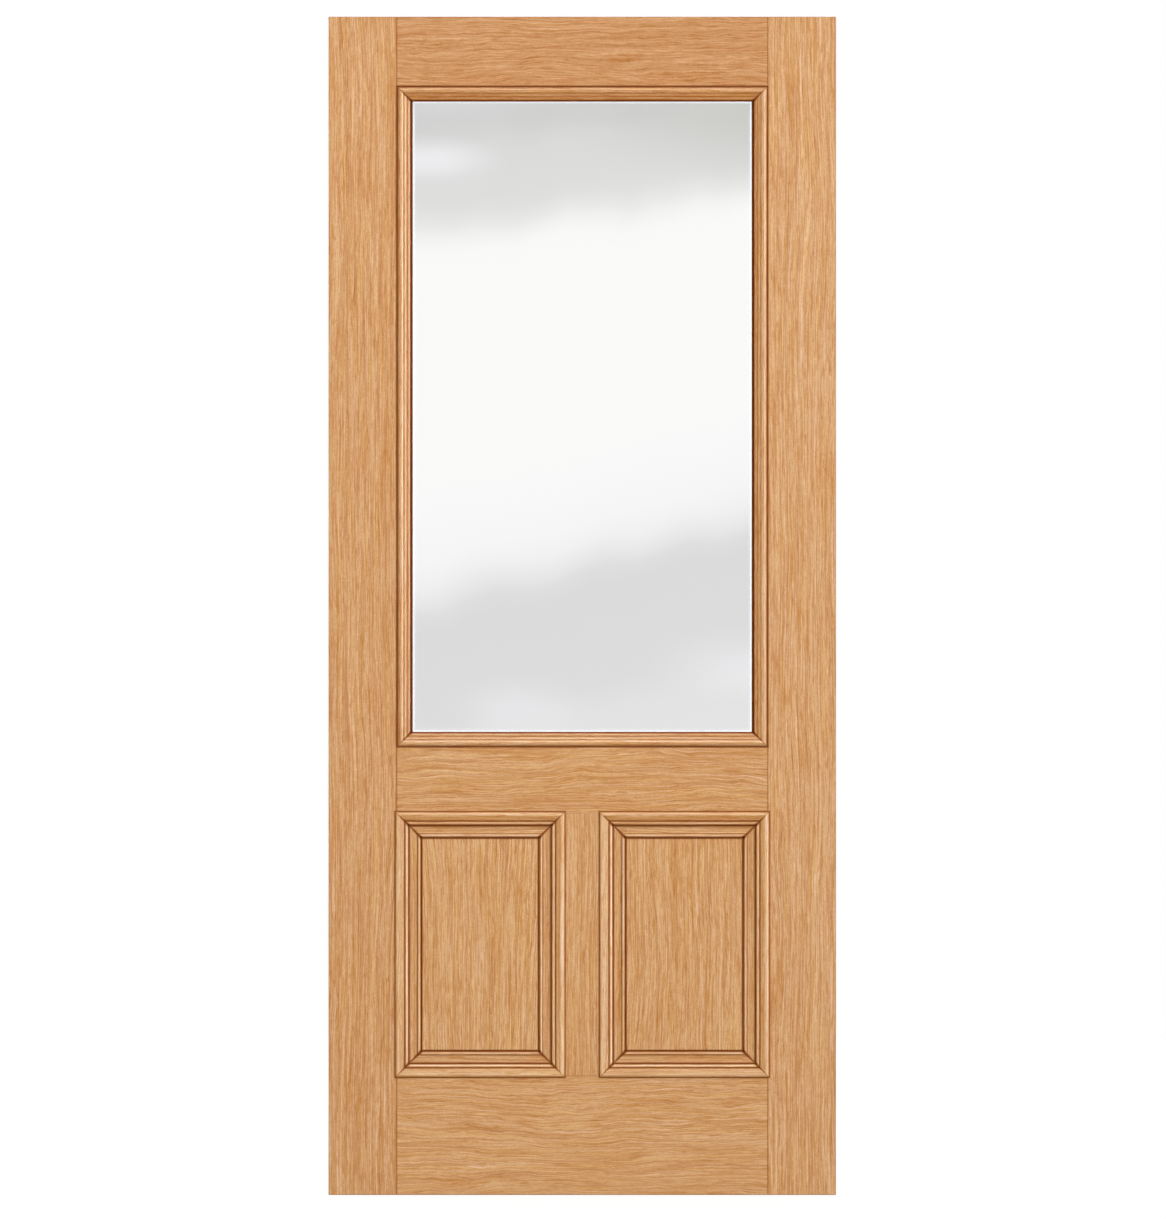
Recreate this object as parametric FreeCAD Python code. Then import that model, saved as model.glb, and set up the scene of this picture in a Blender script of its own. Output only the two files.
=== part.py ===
import FreeCAD, Part
import os

from FreeCAD import Matrix, Placement, Rotation, Vector

# Half glazed timber door leaf: a glazed upper half over two panels, in oak.
# Millimetres. X runs across the leaf from the hinge edge, Y from front to back,
# Z up. The origin is the middle of the hinge edge.

# Leaf
leaf_width = 908.05
leaf_height = 2108.2
leaf_thickness = 44.45

# Frame members, as they show on the face
stile_width = 122.0
top_rail_height = 124.6
middle_rail_height = 118.6
bottom_rail_height = 213.2
panel_opening_height = 469.8
muntin_width = 67.0
arris_radius = 1.5
joint_chamfer = 0.6

# Tenons of the rails and the muntin
tenon_thickness = 14.0
tenon_length = 60.0
tenon_inset = 24.0
tenon_side_gap = 0.15
tenon_end_gap = 1.0

# Glass unit and the tongue of the frame that it stands in
glass_thickness = 3.2
glass_space = 9.5
seal_thickness = 1.5
glazing_tongue_depth = 12.0
glass_edge_gap = 3.0
spacer_width = 9.0
spacer_reveal = 3.4
seal_reveal_side = 4.0
seal_reveal_level = 2.2
seal_cover = 7.0

# Glazing moulding: places are measured inward from the edge of its opening
# and outward from the face of the leaf
glazing_width = 24.5
glazing_crest = 4.0
glazing_quirk_width = 2.0
glazing_quirk_depth = 1.8
glazing_clearance = 0.1
quirk_ease = 0.2

# Moulding round a panel, which laps the frame
lap = 3.0
moulding_width = 24.5
moulding_crest = 5.6
moulding_edge = 0.9
moulding_clearance = 0.25

# Mitred border round the field of a panel
border_width = 45.0
border_level = -3.4
border_clearance = 0.15
bead_width = 5.2
bead_crest = -1.0
quirk_width = 2.6
quirk_level = -5.8
ledge_level = -7.0

# Panels
panel_thickness = 36.5
panel_tongue = 12.7
groove_depth = 12.0
groove_clearance = 0.2
panel_edge_gap = 2.0
field_radius = 0.8

# Heights and widths that follow
face = leaf_thickness / 2
leaf_bottom = -leaf_height / 2
leaf_top = leaf_height / 2
panel_bottom = leaf_bottom + bottom_rail_height
panel_top = panel_bottom + panel_opening_height
glazing_bottom = panel_top + middle_rail_height
glazing_top = leaf_top - top_rail_height
inner_left = stile_width
inner_right = leaf_width - stile_width
middle_x = leaf_width / 2
glass_half = glass_space / 2 + glass_thickness
tongue_half = glass_half + seal_thickness


def box(x0, x1, y0, y1, z0, z1):
    """A block between two corners."""
    return Part.makeBox(x1 - x0, y1 - y0, z1 - z0, Vector(x0, y0, z0))


def save(name, *solids):
    """Write one piece, or a set of like pieces, as one file."""
    shape = solids[0] if len(solids) == 1 else Part.makeCompound(solids)
    shape.exportStep("parts/" + name + ".step")
    print(name, len(shape.Solids), round(shape.Volume / 1000, 1), "cm3", shape.isValid())


def section(start, *steps):
    """A closed face across a strip. A step is the end of a line, or the middle
    and the end of an arc. Points are inward and outward distances."""
    edges = []
    here = Vector(0, *start)
    for step in steps:
        if len(step) == 2:
            there = Vector(0, *step)
            edges.append(Part.LineSegment(here, there).toShape())
        else:
            there = Vector(0, *step[2:])
            edges.append(Part.Arc(here, Vector(0, *step[:2]), there).toShape())
        here = there
    edges.append(Part.LineSegment(here, Vector(0, *start)).toShape())
    return Part.Face(Part.Wire(edges))


def mitred(profile, length):
    """A strip of the profile, cut at 45 degrees at both ends.
    It runs along X, its inner side is +Y and its face +Z."""
    strip = profile.extrude(Vector(length, 0, 0))
    low, high = strip.BoundBox.ZMin - 1, strip.BoundBox.ZMax + 1
    reach = strip.BoundBox.YMax + 1
    corners = [(-1, -1), (length + 1, -1), (length - reach, reach), (reach, reach)]
    outline = Part.makePolygon([Vector(x, y, low) for x, y in corners + corners[:1]])
    return strip.common(Part.Face(outline).extrude(Vector(0, 0, high - low)))


def strips_round(profile, x0, x1, z0, z1):
    """Four mitred strips round a rectangle on the front of the leaf."""
    across, up, out = Vector(1, 0, 0), Vector(0, 0, 1), Vector(0, -1, 0)
    sides = {
        "bottom": (x0, z0, across, up, x1 - x0),
        "right": (x1, z0, up, -across, z1 - z0),
        "top": (x1, z1, -across, -up, x1 - x0),
        "left": (x0, z1, -up, across, z1 - z0),
    }
    strips = {}
    for side, (x, z, along, inward, length) in sides.items():
        place = Matrix(
            along.x, inward.x, out.x, x,
            along.y, inward.y, out.y, -face,
            along.z, inward.z, out.z, z,
        )
        strip = mitred(profile, length)
        strip.Placement = Placement(place)
        strips[side] = strip
    return strips


def to_back(shape):
    """The same piece on the back of the leaf."""
    return shape.mirror(Vector(0, 0, 0), Vector(0, 1, 0))


def eased(solid, edge_test, radius):
    """Round the long arrises that the test picks."""
    edges = [edge for edge in solid.Edges if edge_test(edge)]
    return solid.makeFillet(radius, edges)


def on_outer_arris(edge):
    """Whether an edge lies on a corner of the leaf's own block."""
    centre = edge.BoundBox.Center
    flush_x = abs(centre.x) < 0.01 or abs(centre.x - leaf_width) < 0.01
    flush_y = abs(abs(centre.y) - face) < 0.01
    flush_z = abs(abs(centre.z) - leaf_top) < 0.01
    return flush_x + flush_y + flush_z >= 2


def tenon(x0, x1, z0, z1, gap=0.0):
    """A rail's tenon, or with a gap the mortise that takes it."""
    half = tenon_thickness / 2 + gap
    return box(x0, x1, -half, half, z0 + tenon_inset - gap, z1 - tenon_inset + gap)


def stiles():
    """Hinge stile and lock stile, mortised for the rails, with a tongue beside
    the glass and a groove beside the panels."""
    block = box(0, stile_width, -face, face, leaf_bottom, leaf_top)
    tongue = box(
        stile_width, stile_width + glazing_tongue_depth,
        -tongue_half, tongue_half, glazing_bottom, glazing_top,
    )
    groove_half = panel_tongue / 2 + groove_clearance
    groove = box(
        stile_width - groove_depth, stile_width, -groove_half, groove_half,
        panel_bottom - groove_depth, panel_top + groove_depth,
    )
    mortise_start = stile_width - tenon_length - tenon_end_gap
    for low, high in rail_heights().values():
        block = block.cut(tenon(mortise_start, stile_width, low, high, tenon_side_gap))
    block = eased(block.cut(groove), on_outer_arris, arris_radius)
    hinge = block.fuse(tongue).removeSplitter()
    lock = hinge.mirror(Vector(middle_x, 0, 0), Vector(1, 0, 0))
    save("hinge_stile", hinge)
    save("lock_stile", lock)


def rail_heights():
    """The lower and upper edge of each rail."""
    return {
        "bottom_rail": (leaf_bottom, panel_bottom),
        "middle_rail": (panel_top, glazing_bottom),
        "top_rail": (glazing_top, leaf_top),
    }


def rails():
    """Three rails between the stiles, with tenons, and with the tongue or the
    groove that the stiles have beside the same opening."""
    groove_half = panel_tongue / 2 + groove_clearance
    for name, (low, high) in rail_heights().items():
        rail = box(inner_left, inner_right, -face, face, low, high)
        shoulders = [
            edge for edge in rail.Edges
            if edge.BoundBox.ZLength > 1 and abs(abs(edge.BoundBox.Center.y) - face) < 0.01
        ]
        rail = rail.makeChamfer(joint_chamfer, shoulders)
        if name != "middle_rail":
            rail = eased(rail, lambda edge: on_outer_arris(edge) and edge.BoundBox.XLength > 1,
                         arris_radius)
        if name == "bottom_rail":
            rail = rail.cut(box(inner_left, inner_right, -groove_half, groove_half,
                                high - groove_depth, high))
        if name == "middle_rail":
            rail = rail.cut(box(inner_left, inner_right, -groove_half, groove_half,
                                low, low + groove_depth))
            rail = rail.fuse(box(inner_left, inner_right, -tongue_half, tongue_half,
                                 high, high + glazing_tongue_depth))
        if name == "top_rail":
            rail = rail.fuse(box(inner_left, inner_right, -tongue_half, tongue_half,
                                 low - glazing_tongue_depth, low))
        if name != "bottom_rail":
            rail = trim_tongue_ends(rail)
        for start, end in ((inner_left - tenon_length, inner_left),
                           (inner_right, inner_right + tenon_length)):
            rail = rail.fuse(tenon(start, end, low, high))
        save(name, rail.removeSplitter())


def trim_tongue_ends(rail):
    """Where the rail's tongue meets the stile's, the stile's runs through."""
    for start, end in ((inner_left, inner_left + glazing_tongue_depth),
                       (inner_right - glazing_tongue_depth, inner_right)):
        rail = rail.cut(box(start, end, -face, face, glazing_bottom, glazing_top))
    return rail


def muntin():
    """The upright between the panels, grooved on both sides, with a stub tenon
    in the groove of each rail."""
    half = muntin_width / 2
    groove_half = panel_tongue / 2 + groove_clearance
    post = box(middle_x - half, middle_x + half, -face, face, panel_bottom, panel_top)
    shoulders = [
        edge for edge in post.Edges
        if edge.BoundBox.XLength > 1 and abs(abs(edge.BoundBox.Center.y) - face) < 0.01
    ]
    post = post.makeChamfer(joint_chamfer, shoulders)
    for side in (-1, 1):
        edge = middle_x + side * half
        inside = edge - side * groove_depth
        post = post.cut(box(min(edge, inside), max(edge, inside), -groove_half, groove_half,
                            panel_bottom, panel_top))
    stub = groove_depth - tenon_end_gap
    tenon_half = half - groove_depth
    post = post.fuse(box(middle_x - tenon_half, middle_x + tenon_half,
                         -panel_tongue / 2, panel_tongue / 2,
                         panel_bottom - stub, panel_top + stub))
    save("muntin", post.removeSplitter())


def glazing_section():
    """Glazing moulding: quirk, main bead, two lesser beads with a fine groove
    before each, and a plain reveal down to the seal."""
    back = tongue_half - face
    quirk = glazing_quirk_width
    floor = -glazing_quirk_depth
    width = glazing_width
    crest = glazing_crest
    return section(
        (glazing_clearance, back),
        (glazing_clearance, floor + quirk_ease),
        (glazing_clearance + quirk_ease, floor),
        (quirk - quirk_ease, floor),
        (quirk, floor + quirk_ease),
        (quirk, 0.0),
        (quirk + 2.0, crest - 0.9, quirk + 5.4, crest),
        (quirk + 9.2, crest - 1.0, quirk + 10.9, crest - 3.2),
        (quirk + 11.3, crest - 3.7),
        (quirk + 11.7, crest - 3.3),
        (quirk + 13.7, crest - 2.25, quirk + 16.6, crest - 4.5),
        (quirk + 17.0, crest - 5.1),
        (quirk + 17.6, crest - 4.9),
        (width - 2.6, crest - 3.9, width - 0.3, crest - 5.9),
        (width, crest - 6.5),
        (width, back),
    )


def glazing_mouldings():
    """Mitred mouldings that hold the glass, on the front and the back."""
    strips = strips_round(glazing_section(), inner_left, inner_right, glazing_bottom, glazing_top)
    for side, strip in strips.items():
        save("front_glazing_moulding_" + side, strip)
        save("back_glazing_moulding_" + side, to_back(strip))


def glass_unit():
    """Two panes held apart by a spacer bar, and the seals before and behind."""
    margin = glazing_tongue_depth + glass_edge_gap

    def block(from_side, from_level, y0, y1):
        """A block inside the opening, at its own distance from the upright and
        from the level edges."""
        return box(inner_left + from_side, inner_right - from_side, y0, y1,
                   glazing_bottom + from_level, glazing_top - from_level)

    for name, side in (("outer_glass_pane", -1), ("inner_glass_pane", 1)):
        y_near, y_far = sorted((side * glass_space / 2, side * glass_half))
        save(name, block(margin, margin, y_near, y_far))
    sight_side = glazing_width + seal_reveal_side
    sight_level = glazing_width + seal_reveal_level
    spacer_cover = spacer_width - spacer_reveal
    whole = block(sight_side - spacer_cover, sight_level - spacer_cover,
                  -glass_space / 2, glass_space / 2)
    hole = block(sight_side + spacer_reveal, sight_level + spacer_reveal,
                 -glass_space / 2, glass_space / 2)
    save("glass_spacer_bar", whole.cut(hole))
    seal_start = glazing_width - seal_cover
    for name, side in (("front_glazing_seal", -1), ("back_glazing_seal", 1)):
        y_near, y_far = sorted((side * glass_half, side * tongue_half))
        whole = block(seal_start, seal_start, y_near, y_far)
        save(name, whole.cut(block(sight_side, sight_level, y_near, y_far)))


def moulding_section():
    """Panel moulding: a nose that laps the frame, a cyma that falls away from it,
    a quirk and a small inner bead."""
    crest = moulding_crest
    width = moulding_width
    body = lap + moulding_clearance
    return section(
        (0.0, 0.0),
        (0.0, moulding_edge),
        (1.3, crest - 1.5, 4.8, crest),
        (7.9, crest - 0.45, 10.8, crest - 1.7),
        (13.4, crest - 2.85, width - 8.4, crest - 3.2),
        (width - 8.2, crest - 3.4),
        (width - 8.0, crest - 4.5),
        (width - 6.6, crest - 4.5),
        (width - 6.2, crest - 4.1),
        (width - 3.8, crest - 2.3, width - 1.2, crest - 4.3),
        (width - 1.0, crest - 5.0),
        (width, crest - 5.4),
        (width, ledge_level),
        (body, ledge_level),
        (body, 0.0),
    )


def border_section():
    """Border of a panel: a ledge under the moulding, a hollow that rises to a
    small bead, and a quirk beside the field."""
    inner = border_width - border_clearance
    bead_end = border_width - quirk_width
    bead_start = bead_end - bead_width
    ledge_end = moulding_width - lap + border_clearance
    return section(
        (border_clearance, panel_tongue / 2 - face),
        (border_clearance, ledge_level),
        (ledge_end, ledge_level),
        (ledge_end, border_level + 0.2),
        (bead_start - 7.2, border_level - 0.9, bead_start - 0.3, border_level - 0.1),
        (bead_start, border_level - 0.5),
        (bead_start + 0.2, border_level + 0.2),
        (bead_end - bead_width / 2, bead_crest, bead_end - 0.1, border_level + 0.1),
        (bead_end, border_level - 0.4),
        (bead_end, quirk_level),
        (inner, quirk_level),
        (inner, panel_tongue / 2 - face),
    )


def panel(x0, x1):
    """A flat panel: a thick field and a thin tongue that stands in the grooves."""
    edge = groove_depth - panel_edge_gap
    tongue = box(x0 - edge, x1 + edge, -panel_tongue / 2, panel_tongue / 2,
                 panel_bottom - edge, panel_top + edge)
    half = panel_thickness / 2
    field = box(x0 + border_width, x1 - border_width, -half, half,
                panel_bottom + border_width, panel_top - border_width)
    arrises = [
        one for one in field.Edges if abs(abs(one.BoundBox.Center.y) - half) < 0.01
    ]
    return field.makeFillet(field_radius, arrises).fuse(tongue).removeSplitter()


def panels():
    """Both panels, with the mitred borders and mouldings of their two faces."""
    half = muntin_width / 2
    moulding_face = moulding_section()
    border_face = border_section()
    openings = (("left", inner_left, middle_x - half), ("right", middle_x + half, inner_right))
    for name, x0, x1 in openings:
        save(name + "_panel", panel(x0, x1))
        borders = strips_round(border_face, x0, x1, panel_bottom, panel_top)
        mouldings = strips_round(moulding_face, x0 - lap, x1 + lap,
                                 panel_bottom - lap, panel_top + lap)
        for where, turned in (("front", lambda shape: shape), ("back", to_back)):
            start = name + "_panel_" + where
            save(start + "_upright_borders", turned(borders["left"]), turned(borders["right"]))
            save(start + "_level_borders", turned(borders["bottom"]), turned(borders["top"]))
            for side, strip in mouldings.items():
                save(start + "_moulding_" + side, turned(strip))


os.makedirs("parts", exist_ok=True)
stiles()
rails()
muntin()
glazing_mouldings()
glass_unit()
panels()
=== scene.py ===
import math

import bpy
from mathutils import Matrix, Vector


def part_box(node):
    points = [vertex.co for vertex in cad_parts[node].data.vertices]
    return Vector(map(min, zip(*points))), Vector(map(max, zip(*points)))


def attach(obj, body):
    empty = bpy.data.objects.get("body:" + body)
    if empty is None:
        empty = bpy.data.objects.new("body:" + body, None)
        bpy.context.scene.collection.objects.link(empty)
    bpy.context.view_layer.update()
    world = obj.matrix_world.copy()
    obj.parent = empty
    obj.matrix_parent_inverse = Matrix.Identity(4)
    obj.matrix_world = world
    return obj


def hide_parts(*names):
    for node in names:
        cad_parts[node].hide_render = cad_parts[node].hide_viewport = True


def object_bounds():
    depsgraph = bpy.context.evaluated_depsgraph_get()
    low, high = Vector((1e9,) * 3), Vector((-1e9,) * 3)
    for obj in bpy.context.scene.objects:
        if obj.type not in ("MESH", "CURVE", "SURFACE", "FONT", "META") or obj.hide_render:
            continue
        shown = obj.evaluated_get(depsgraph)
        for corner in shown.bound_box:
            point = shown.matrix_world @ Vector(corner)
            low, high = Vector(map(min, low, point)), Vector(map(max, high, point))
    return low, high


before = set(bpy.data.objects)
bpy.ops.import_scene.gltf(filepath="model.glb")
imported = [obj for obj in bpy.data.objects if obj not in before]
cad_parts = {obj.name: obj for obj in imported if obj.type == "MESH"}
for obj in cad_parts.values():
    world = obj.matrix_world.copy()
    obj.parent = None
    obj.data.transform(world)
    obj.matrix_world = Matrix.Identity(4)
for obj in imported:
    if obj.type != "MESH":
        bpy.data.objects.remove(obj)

cad_low, cad_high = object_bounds()

# Half glazed oak door leaf. Metres; X runs from the hinge edge to the lock edge,
# Y from the front face to the back face, Z up. The frame members, panels, panes and
# seals are the CAD pieces in their finishes. The mouldings, the borders and the
# spacer bar are modelled again here, over the CAD pieces of the same places.

MM = 0.001
WHITE = (1, 1, 1, 1)
SIDES = ("bottom", "right", "top", "left")
UPRIGHT_SIDES = ("right", "left")
FACES = (("front", -1), ("back", 1))
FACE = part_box("hinge_stile")[1].y

# The photograph's frame and where the leaf lies in it, in its pixels
PHOTO_WIDTH = 1166
PHOTO_HEIGHT = 1219
LEAF_LEFT = 328.48
LEAF_RIGHT = 835.99
LEAF_TOP = 16.65
LEAF_BOTTOM = 1194.92

# Sizes of the leaf, in millimetres. The panel openings' heights are from its bottom
# edge, and the face of a seal is from the middle of its thickness. What is closer to
# an edge of the leaf than the last of them lies at that edge.
STILE_WIDTH = 122.0
PANEL_OPENING_LOW = 213.2
PANEL_OPENING_HIGH = 683.0
PANEL_TONGUE = 12.7
SEAL_FACE = 9.45
GLAZING_WIDTH = 24.5
GLAZING_CLEARANCE = 0.1
MOULDING_WIDTH = 24.5
MOULDING_LAP = 3.0
MOULDING_BED = -7.0
BORDER_WIDTH = 45.0
BORDER_CLEARANCE = 0.15
EDGE_CLOSENESS = 1.0

# Strips, in millimetres and degrees
MITRE_GAP = 0.12
MITRE_EASE = 0.45
SHARP_ANGLE = 32.0
ARC_POINTS = 9
STRIP_PLACE = "strip_place"

# The spacer bar and the pin heads, in millimetres. Pins on the upright sides are
# given by height from the bottom edge, and the others from the hinge edge.
SPACER_WIDTH = 9.0
SPACER_GAP = 0.1
LEFT_PINS = (1001.8, 1155.7)
RIGHT_PINS = (1001.8, 1155.7, 1588.6)
TOP_PINS = (453.6, 722.0)
BOTTOM_PINS = (453.6,)
PIN_FROM_SIDE_STRIP = 1.5
PIN_FROM_LEVEL_STRIP = 1.1
PIN_SINK = 0.1
PIN_RADIUS = 1.1
PIN_HEIGHT = 0.9
HEAD_SIDES = 12
HEAD_LEVELS = ((1.0, 0.0), (0.92, 0.45), (0.6, 0.85))


# Meshes


def mesh_of(name, verts, faces):
    """A mesh of corners and faces."""
    mesh = bpy.data.meshes.new(name)
    mesh.from_pydata(verts, [], faces)
    return mesh


def put_in_scene(name, data):
    """An object of a mesh, light or camera, in the scene."""
    made = bpy.data.objects.new(name, data)
    bpy.context.scene.collection.objects.link(made)
    return made


def tube_faces(rows, count):
    """Faces between rows of as many corners, and over the two ends."""
    faces = []
    for row in range(rows - 1):
        low, high = row * count, (row + 1) * count
        for i in range(count):
            j = (i + 1) % count
            faces.append((low + i, low + j, high + j, high + i))
    faces.append(tuple(range(count))[::-1])
    faces.append(tuple(range((rows - 1) * count, rows * count)))
    return faces


def turned_over(faces):
    """The same faces, looking the other way."""
    return [face[::-1] for face in faces]


def arc_between(start, middle, end):
    """Points after the start along the arc through three points."""
    ax, ay = start
    bx, by = middle
    cx, cy = end
    double_area = 2 * (ax * (by - cy) + bx * (cy - ay) + cx * (ay - by))
    a2, b2, c2 = ax * ax + ay * ay, bx * bx + by * by, cx * cx + cy * cy
    ox = (a2 * (by - cy) + b2 * (cy - ay) + c2 * (ay - by)) / double_area
    oy = (a2 * (cx - bx) + b2 * (ax - cx) + c2 * (bx - ax)) / double_area
    radius = math.hypot(ax - ox, ay - oy)
    first = math.atan2(ay - oy, ax - ox)
    turn = (math.atan2(cy - oy, cx - ox) - first) % math.tau
    if (math.atan2(by - oy, bx - ox) - first) % math.tau > turn:
        turn -= math.tau
    angles = [first + turn * (i + 1) / ARC_POINTS for i in range(ARC_POINTS)]
    return [(ox + radius * math.cos(a), oy + radius * math.sin(a)) for a in angles]


def section(start, *steps):
    """A strip's section in metres, from millimetres inward from its outer edge and
    outward from the face of the leaf. A step is the end of a line, or the middle
    and the end of an arc."""
    points = [start]
    for step in steps:
        if len(step) == 2:
            points.append(step)
        else:
            points += arc_between(points[-1], step[:2], step[2:])
    return [Vector((u * MM, w * MM)) for u, w in points]


def glazing_section():
    """Quirk, main bead, two lesser beads and a plain reveal down to the seal."""
    back = SEAL_FACE - FACE / MM
    outer, inner = GLAZING_CLEARANCE, GLAZING_WIDTH
    return section(
        (outer, back), (outer, -1.6), (0.3, -1.8), (1.8, -1.8), (2.0, -1.6), (2.0, 0.0),
        (4.0, 3.1, 7.4, 4.0), (11.1, 3.0, 12.9, 0.9), (13.2, 0.5), (13.5, 1.35),
        (16.2, 0.6, 18.6, -0.95), (18.9, -1.4), (19.3, -0.5),
        (inner - 2.7, -0.95, inner - 0.3, -2.2), (inner, -2.7), (inner, back),
    )


def moulding_section():
    """Nose that laps the frame, a cyma, a quirk and a small inner bead."""
    inner = MOULDING_WIDTH
    body = MOULDING_LAP + 0.25
    return section(
        (0.0, 0.0), (0.0, 0.9), (1.3, 3.6, 5.2, 5.4), (7.0, 5.56, 9.2, 5.25),
        (15.6, 3.75), (16.1, 3.2), (16.5, 1.1), (17.9, 1.1), (18.3, 1.5),
        (18.8, 2.6, 19.8, 3.0), (21.8, 2.45, 23.3, 1.3), (23.5, 0.6), (inner, 0.2),
        (inner, MOULDING_BED), (body, MOULDING_BED), (body, 0.0),
    )


def border_section():
    """Ledge under the moulding, hollow rising to a small bead, quirk."""
    outer, inner = BORDER_CLEARANCE, BORDER_WIDTH - BORDER_CLEARANCE
    bead_end = BORDER_WIDTH - 2.6
    bead_start = bead_end - 5.2
    ledge_end = MOULDING_WIDTH - MOULDING_LAP + BORDER_CLEARANCE
    back = PANEL_TONGUE / 2 - FACE / MM
    return section(
        (outer, back), (outer, MOULDING_BED), (ledge_end, MOULDING_BED), (ledge_end, -3.2),
        (bead_start - 7.2, -4.3, bead_start - 0.3, -3.5), (bead_start, -3.9),
        (bead_start + 0.2, -3.2), (bead_end - 2.6, -1.0, bead_end - 0.1, -3.3),
        (bead_end, -3.8), (bead_end, -5.8), (inner, -5.8), (inner, back),
    )


def shrunk(points, by):
    """The section with its outline moved inward, for the eased end of a strip."""
    moved = []
    count = len(points)
    for i, point in enumerate(points):
        before = (point - points[i - 1]).normalized()
        after = (points[(i + 1) % count] - point).normalized()
        along = before + after
        along = along.normalized() if along.length > 1e-6 else after
        moved.append(point + Vector((along.y, -along.x)) * by)
    return moved


def strip_mesh(name, points, length, place):
    """A mitred strip along local X, its inner side +Y and its face +Z. Each point
    keeps how far it is from the outer edge and from the two mitres."""
    ease, gap = MITRE_EASE * MM, MITRE_GAP * MM
    lean = shrunk(points, ease)
    rows = [(lean, gap, 1), (points, gap + ease, 1), (points, gap + ease, -1), (lean, gap, -1)]
    verts, places = [], []
    for shape, back, end in rows:
        for (u, w), (full_u, _) in zip(shape, points):
            along = full_u + back if end > 0 else length - full_u - back
            verts.append(place @ Vector((along, u, w)))
            places += [u, (along - u) / math.sqrt(2), (length - along - u) / math.sqrt(2)]
    faces = tube_faces(len(rows), len(points))
    mirrored = place.to_3x3().determinant() < 0
    mesh = mesh_of(name, verts, faces if mirrored else turned_over(faces))
    mesh.polygons.foreach_set("use_smooth", [True] * len(faces))
    mesh.set_sharp_from_angle(angle=math.radians(SHARP_ANGLE))
    kept = mesh.attributes.new(STRIP_PLACE, "FLOAT_VECTOR", "POINT")
    kept.data.foreach_set("vector", places)
    return mesh


def side_places(low, high, outward):
    """For each side of a rectangle on a face of the leaf, where its strip lies
    and how long it is. The front looks outward along -Y, and the back along +Y."""
    x0, z0, x1, z1 = low.x, low.z, high.x, high.z
    across, up = Vector((1, 0, 0)), Vector((0, 0, 1))
    sides = {
        "bottom": (x0, z0, across, up, x1 - x0),
        "right": (x1, z0, up, -across, z1 - z0),
        "top": (x1, z1, -across, -up, x1 - x0),
        "left": (x0, z1, -up, across, z1 - z0),
    }
    places = {}
    for side, (x, z, along, inward, length) in sides.items():
        place = Matrix((along, inward, Vector((0, outward, 0)))).transposed().to_4x4()
        place.translation = Vector((x, outward * FACE, z))
        places[side] = (place, length)
    return places


def rectangle_of(*nodes):
    """The box round some CAD nodes."""
    corners = [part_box(node) for node in nodes]
    low = Vector(tuple(min(c[0][i] for c in corners) for i in range(3)))
    high = Vector(tuple(max(c[1][i] for c in corners) for i in range(3)))
    return low, high


def grown(low, high, by):
    """A box, wider and higher by some millimetres on each side."""
    margin = Vector((by * MM, 0, by * MM))
    return low - margin, high + margin


def place_piece(name, mesh, material, slot_name, *nodes):
    """Puts a modelled piece in the scene, over the CAD nodes that it stands for."""
    mesh.materials.append(material)
    piece = put_in_scene(name, mesh)
    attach(piece, "root")
    if nodes:
        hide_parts(*nodes)


# Nodes of the materials


def add(tree, kind, inputs=None, **settings):
    """Adds a node, sets it up, and joins or sets its inputs."""
    made = tree.nodes.new(kind)
    for key, value in settings.items():
        setattr(made, key, value)
    for key, value in (inputs or {}).items():
        if isinstance(value, bpy.types.NodeSocket):
            tree.links.new(value, made.inputs[key])
        else:
            made.inputs[key].default_value = value
    return made


def calc(tree, operation, first, second=0.0, third=0.0):
    """The result of one Math node."""
    inputs = {0: first, 1: second, 2: third}
    return add(tree, "ShaderNodeMath", inputs, operation=operation).outputs[0]


def vector_calc(tree, operation, first, second):
    """The result of one Vector Math node."""
    inputs = {0: first, 1: second}
    return add(tree, "ShaderNodeVectorMath", inputs, operation=operation).outputs[0]


def weighed(tree, value, weight, onto):
    """Adds a noise value, less its middle of 0.5, onto another by its weight."""
    return calc(tree, "MULTIPLY_ADD", calc(tree, "SUBTRACT", value, 0.5), weight, onto)


def spread(tree, value, low, high, to_low=0.0, to_high=1.0):
    """A value's stretch from low to high, smoothly mapped onto another."""
    inputs = {"Value": value, "From Min": low, "From Max": high,
              "To Min": to_low, "To Max": to_high}
    made = add(tree, "ShaderNodeMapRange", inputs, interpolation_type="SMOOTHSTEP")
    return made.outputs["Result"]


def split(tree, vector):
    """The X, Y and Z of a vector."""
    return add(tree, "ShaderNodeSeparateXYZ", {0: vector}).outputs


def combined(tree, first, second, third):
    """A vector of three values."""
    return add(tree, "ShaderNodeCombineXYZ", {0: first, 1: second, 2: third}).outputs[0]


def noise(tree, vector, scale, detail):
    """Soft noise, in waves a unit of the vector."""
    inputs = {"Vector": vector, "Scale": scale, "Detail": detail}
    return add(tree, "ShaderNodeTexNoise", inputs).outputs["Fac"]


def streaks(tree, path, along, across, sideways=None, detail=1.0):
    """Noise drawn out along the grain, in waves a metre along it and across it."""
    waves = (along, across, across if sideways is None else sideways)
    return noise(tree, vector_calc(tree, "MULTIPLY", path, waves), 1.0, detail)


def blend(tree, share, under, over, way="MIX"):
    """A colour with a share of another one over it."""
    return add(tree, "ShaderNodeMix", {"Factor": share, 6: under, 7: over},
               data_type="RGBA", blend_type=way).outputs[2]


def ramp(tree, share, stops):
    """A colour that goes from stop to stop as a share goes from 0 to 1."""
    made = add(tree, "ShaderNodeValToRGB", {"Fac": share})
    colours = made.color_ramp.elements
    colours[0].position, colours[0].color = stops[0]
    colours[1].position, colours[1].color = stops[-1]
    for at, colour in stops[1:-1]:
        colours.new(at).color = colour
    return made.outputs["Color"]


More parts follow.
